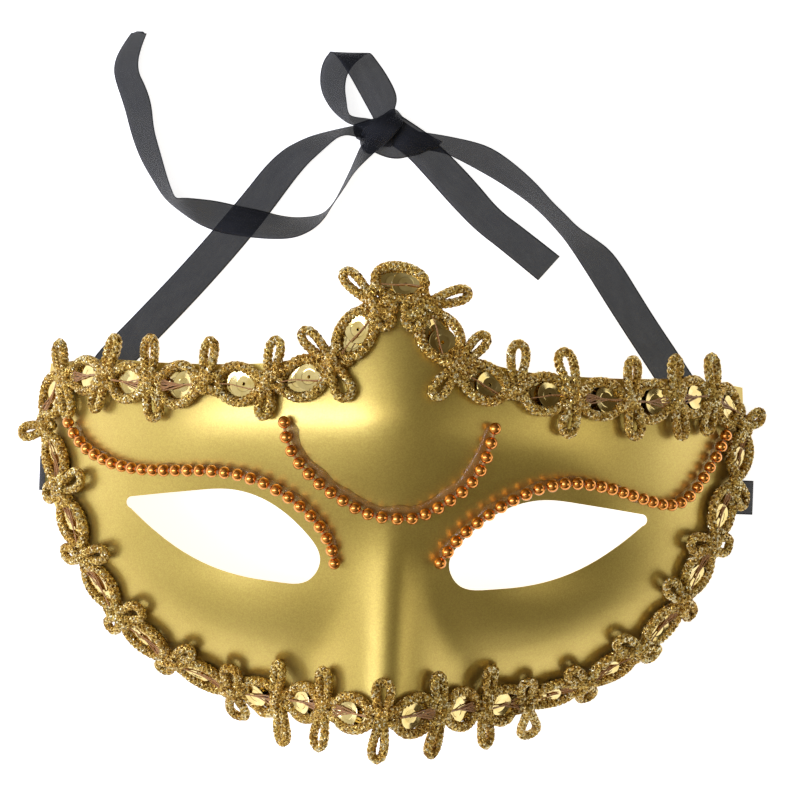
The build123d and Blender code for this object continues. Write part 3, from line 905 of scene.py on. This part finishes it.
# Rungs across each ribbon, from its glued end to its cut end: the two edges in mm about the nose line.
LEFT_RIBBON = [
    # strap, flat on the table up to the knot
    ((-84.2, 9.5, 0.4), (-80.5, 2.5, 0.4)), ((-81.3, 19.0, 0.3), (-73.6, 15.8, 0.3)),
    ((-77.6, 34.0, 0.3), (-69.6, 30.6, 0.3)), ((-68.6, 43.6, 0.3), (-62.0, 38.2, 0.3)),
    ((-53.5, 60.5, 0.3), (-46.8, 55.3, 0.3)), ((-41.5, 75.5, 0.3), (-34.8, 70.4, 0.3)),
    ((-32.3, 88.0, 0.4), (-25.6, 83.9, 1.8)), ((-25.0, 92.2, 0.6), (-20.3, 89.2, 5.4)),
    ((-17.5, 94.5, 1.2), (-15.6, 93.2, 6.6)), ((-11.5, 95.8, 1.6), (-11.0, 92.4, 5.0)),
    ((-6.0, 96.0, 2.4), (-7.5, 91.8, 3.6)),
    # through the knot
    ((-3.2, 94.0, 3.0), (-5.2, 91.4, 2.4)), ((-5.0, 91.8, 3.4), (-6.8, 93.2, 2.6)),
    # tail, standing on its edge, then lying over the strap
    ((-7.2, 89.2, 4.2), (-10.6, 91.4, 2.2)), ((-10.2, 86.0, 6.4), (-12.0, 88.2, 1.0)),
    ((-12.6, 83.2, 8.5), (-13.6, 83.9, 0.4)), ((-15.0, 79.0, 8.7), (-15.7, 79.4, 0.3)),
    ((-17.4, 74.9, 8.7), (-17.9, 75.4, 0.3)), ((-19.4, 71.4, 8.5), (-20.5, 72.9, 0.5)),
    ((-22.6, 68.6, 7.6), (-25.8, 72.1, 0.7)), ((-27.0, 66.6, 6.4), (-30.5, 72.5, 0.9)),
    ((-32.8, 66.4, 5.2), (-34.8, 73.5, 0.9)), ((-39.5, 66.9, 3.4), (-40.5, 74.5, 0.9)),
    ((-45.5, 67.7, 1.1), (-46.5, 75.7, 1.1)), ((-50.6, 69.5, 0.5), (-51.2, 75.8, 5.6)),
    ((-54.4, 72.0, 0.4), (-54.4, 75.7, 7.9)), ((-57.5, 74.3, 0.3), (-56.4, 75.4, 8.6)),
    ((-59.9, 76.4, 0.3), (-57.4, 77.8, 8.3)), ((-62.2, 79.6, 0.3), (-58.5, 80.8, 7.8)),
    ((-65.5, 84.8, 0.3), (-60.5, 86.5, 6.9)), ((-68.5, 91.6, 0.3), (-62.4, 92.6, 6.1)),
    ((-70.4, 98.8, 0.3), (-63.4, 99.0, 4.9)), ((-73.0, 105.2, 0.3), (-65.0, 103.4, 2.8)),
    ((-73.4, 108.8, 0.3), (-67.2, 107.4, 4.4)), ((-71.9, 112.8, 0.3), (-66.7, 112.6, 5.0)),
    ((-68.9, 117.4, 0.3), (-64.9, 116.9, 4.6)),
]
RIGHT_RIBBON = [
    # strap, flat on the table, then rising on one edge
    ((79.5, 5.5, 0.4), (85.2, 12.0, 0.4)), ((73.9, 21.2, 0.3), (81.5, 25.0, 0.3)),
    ((63.8, 36.0, 0.3), (71.0, 40.5, 0.3)), ((58.2, 43.9, 0.3), (65.0, 48.7, 0.3)),
    ((53.1, 51.2, 0.3), (59.9, 56.2, 0.3)), ((48.5, 58.0, 0.3), (55.4, 63.0, 0.4)),
    ((45.6, 62.3, 0.3), (52.0, 67.0, 1.6)), ((43.0, 66.0, 0.3), (47.6, 69.6, 5.8)),
    ((40.2, 69.9, 0.3), (43.4, 71.9, 7.6)), ((37.4, 72.8, 0.3), (40.2, 75.2, 7.6)),
    ((34.8, 75.2, 0.3), (37.3, 77.9, 7.4)), ((30.6, 78.7, 0.3), (33.0, 82.4, 7.0)),
    ((25.5, 81.8, 0.4), (27.3, 87.4, 6.2)), ((19.5, 85.2, 0.5), (22.0, 90.7, 6.2)),
    ((14.2, 87.9, 0.6), (17.0, 92.3, 6.6)), ((9.5, 89.8, 0.8), (11.5, 93.3, 6.4)),
    ((2.5, 90.5, 1.6), (4.5, 94.3, 4.6)),
    # through the knot
    ((-2.5, 92.5, 2.2), (-2.0, 95.4, 3.8)), ((-7.5, 95.2, 2.2), (-8.0, 97.2, 3.8)),
    # loop: out on its edge, flat, folded over at the top, and back above itself
    ((-13.0, 95.6, 1.2), (-13.4, 97.5, 5.2)), ((-15.2, 96.5, 0.7), (-14.4, 98.5, 6.6)),
    ((-18.6, 99.3, 0.4), (-14.9, 101.2, 6.6)), ((-21.2, 103.6, 0.4), (-15.5, 104.4, 6.0)),
    ((-21.8, 107.6, 0.6), (-15.0, 108.0, 5.0)), ((-21.2, 111.2, 1.2), (-13.0, 111.2, 4.2)),
    ((-19.6, 113.6, 2.2), (-10.0, 113.6, 4.2)), ((-19.2, 113.8, 3.4), (-9.2, 113.5, 5.0)),
    ((-17.6, 112.4, 6.0), (-7.8, 111.8, 6.2)), ((-14.5, 108.0, 7.2), (-5.3, 108.6, 6.6)),
    ((-11.5, 103.0, 6.8), (-2.8, 104.4, 6.4)), ((-9.7, 100.0, 6.2), (-2.2, 101.8, 6.0)),
    ((-8.0, 97.2, 5.4), (-3.0, 99.2, 5.4)),
    # through the knot again, and the short tail
    ((-6.2, 94.0, 4.4), (-0.8, 97.0, 4.6)), ((-3.6, 91.0, 3.2), (2.6, 95.0, 3.6)),
    ((0.4, 88.7, 2.4), (6.4, 93.2, 2.6)), ((6.0, 83.0, 1.8), (11.7, 88.9, 1.8)),
    ((12.4, 76.3, 1.0), (18.4, 82.3, 1.0)), ((18.5, 70.5, 0.5), (24.2, 75.8, 0.5)),
    ((25.2, 65.8, 0.3), (30.2, 71.8, 0.3)), ((34.5, 58.6, 0.3), (39.7, 64.8, 0.3)),
]
KNOT_WRAPS = [
    # the turn that ties everything, from lower left to upper right
    [((-10.9, 90.6, 0.3), (-8.4, 88.7, 0.3)), ((-11.5, 92.0, 2.6), (-7.0, 88.9, 2.8)),
     ((-10.2, 94.9, 5.8), (-4.6, 91.0, 6.6)), ((-7.6, 97.0, 6.8), (-2.0, 94.0, 7.8)),
     ((-5.2, 98.6, 5.6), (-0.4, 96.4, 6.8)), ((-4.0, 99.8, 2.6), (-0.9, 98.4, 3.4)),
     ((-3.8, 100.0, 0.3), (-1.8, 99.2, 0.3))],
    # the flared fold over the right ribbon
    [((-4.4, 99.2, 1.6), (-7.2, 89.0, 0.8)), ((-3.0, 99.4, 4.2), (-5.0, 87.9, 2.4)),
     ((1.0, 97.0, 5.2), (-1.6, 87.4, 3.8)), ((4.8, 94.6, 5.0), (1.2, 88.2, 3.8)),
     ((7.0, 93.2, 4.4), (3.6, 88.7, 3.2)), ((9.4, 92.2, 3.4), (5.6, 90.0, 2.8))],
    # the gathered end of the left strap
    [((-13.0, 95.8, 1.2), (-12.0, 92.4, 0.8)), ((-9.8, 97.0, 3.0), (-9.6, 91.0, 3.2)),
     ((-6.5, 97.6, 5.0), (-6.6, 90.2, 5.0)), ((-3.0, 97.4, 4.8), (-3.2, 90.4, 4.6))],
]


def route_line(route):
    """Points along the smooth line that a list of control points shapes."""
    curve = bpy.data.curves.new("route", "CURVE")
    curve.dimensions = "3D"
    spline = curve.splines.new("NURBS")
    spline.points.add(len(route) - 1)
    for point, spot in zip(spline.points, route):
        point.co = (*spot, 1.0)
    spline.order_u = 3
    spline.use_endpoint_u = True
    spline.resolution_u = ROUTE_SAMPLES
    holder = bpy.data.objects.new("route", curve)
    bpy.context.scene.collection.objects.link(holder)
    bpy.context.view_layer.update()
    mesh = bpy.data.meshes.new_from_object(holder.evaluated_get(bpy.context.evaluated_depsgraph_get()))
    line = [v.co.copy() for v in mesh.vertices]
    bpy.data.objects.remove(holder)
    bpy.data.curves.remove(curve)
    bpy.data.meshes.remove(mesh)
    return line


RIPPLES = ((0.06, 0.45, 1.9), (0.05, 0.17, -1.0))   # height in mm, radians along each mm, and across
CLIP_FROM = 0.45            # a clipped end is cut back outside this share of its half width
LOWEST_TOP, LOWEST_UNDER = 0.10 * MM, 0.02 * MM     # neither face sinks below the table


def strip(build, coordinates, rungs, bow, clip):
    """A ribbon through rungs, and its middle line. Bow lifts its middle, and clip trims the last
    corners."""
    first_edge = route_line([place(*a) for a, _ in rungs])
    second_edge = route_line([place(*b) for _, b in rungs])
    middle = [(a + b) / 2 for a, b in zip(first_edge, second_edge)]
    skin = RIBBON_THICKNESS / 2 * MM
    rows, travelled = [], 0.0
    count = len(middle)
    for i, (a, b) in enumerate(zip(first_edge, second_edge)):
        if i:
            travelled += (middle[i] - middle[i - 1]).length
        along = (middle[min(i + 1, count - 1)] - middle[max(i - 1, 0)]).normalized()
        across = (b - a).normalized()
        face = across.cross(along).normalized()
        top, under = [], []
        for t in spread(RIBBON_COLUMNS):
            curl = bow * (1 - t * t) + sum(high * sin(travelled / MM * rate + lag * t)
                                           for high, rate, lag in RIPPLES)
            spot = a.lerp(b, (t + 1) / 2) + face * curl * MM
            if clip and i == count - 1:
                spot = spot - along * clip * max(0.0, abs(t) - CLIP_FROM) * MM
            for layer, offset, lowest in ((top, skin, LOWEST_TOP), (under, -skin, LOWEST_UNDER)):
                layer.append((above_table(spot + face * offset, lowest), (travelled / MM, t)))
        add_row(rows, coordinates, top + under[::-1])
    build.tube(rows, False)
    return middle


def add_row(rows, coordinates, loop):
    """A ring of a ribbon's points, with each one's place along and across it."""
    rows.append([q for q, _ in loop])
    coordinates.extend(uv for _, uv in loop)


def taffeta_piece(build, coordinates):
    """A ribbon piece that keeps the distance along and across for the weave."""
    piece = build.piece(TAFFETA)
    layer = piece.data.uv_layers.new(name="along_across")
    for corner in piece.data.loops:
        layer.data[corner.index].uv = coordinates[corner.vertex_index]
    return piece


def ribbon_piece(name, strips):
    """One piece from a list of strips, and the middle line of the first."""
    build, coordinates = Build(name), []
    lines = [strip(build, coordinates, *settings) for settings in strips]
    piece = taffeta_piece(build, coordinates)
    return piece, lines[0]


def length_of(line):
    return sum((b - a).length for a, b in zip(line, line[1:]))


KNOT_BOW = 0.5              # mm
knot, _ = ribbon_piece("ribbon_knot", [(rungs, KNOT_BOW, 0.0) for rungs in KNOT_WRAPS])
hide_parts("bow_knot")
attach(knot, "strap")


def make_ribbon(side, rungs, clip, nodes):
    """One ribbon as a single strip, with its real length."""
    piece, line = ribbon_piece(f"{side}_ribbon", [(rungs, 0.0, clip)])
    print(side, "ribbon", round(length_of(line) / MM, 1), "mm")
    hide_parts(*nodes)
    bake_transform(piece)


make_ribbon("left", LEFT_RIBBON, 1.6, ["left_ribbon_strap", "left_ribbon_tail"])
make_ribbon("right", RIGHT_RIBBON, 0.0, ["right_ribbon_strap", "bow_loop", "right_ribbon_tail"])

TAB_TIPS = {"left": 88.3, "right": 90.0}    # how far the cut ends reach past the nose line
TAB_CLIMB = [(82.2, 5.6), (83.2, 4.0), (84.2, 2.3), (85.0, 0.9), (86.2, 0.25)]
TAB_Y = SWING_Y - 0.8
TAB_COLUMNS = 8
TAB_THICKNESS = 0.14 * MM
TAB_LOWEST = 0.04 * MM
TAB_WEAVE_STEP = 1.8        # mm of weave from one row to the next


def make_ribbon_end(name, side):
    """The glued end: up the inside of the temple, with the cut edge folded out past the rim."""
    build = Build(f"{name}_ribbon_end")
    tip = TAB_TIPS[name]
    rows, coordinates = [], []
    for i, (x, z) in enumerate(TAB_CLIMB + [(tip - 0.8, 0.3), (tip, 0.8)]):
        top = [(place(side * x, TAB_Y + RIBBON_WIDTH / 2 * t, z), (i * TAB_WEAVE_STEP, t))
               for t in spread(TAB_COLUMNS)]
        under = [(above_table(q - UP * TAB_THICKNESS, TAB_LOWEST), uv) for q, uv in reversed(top)]
        add_row(rows, coordinates, top + under)
    build.tube(rows, False)
    on_mask(taffeta_piece(build, coordinates), f"{name}_ribbon_tab")
    paint_node(f"{name}_ribbon_glue", GLUE)


make_ribbon_end("left", -1)
make_ribbon_end("right", 1)
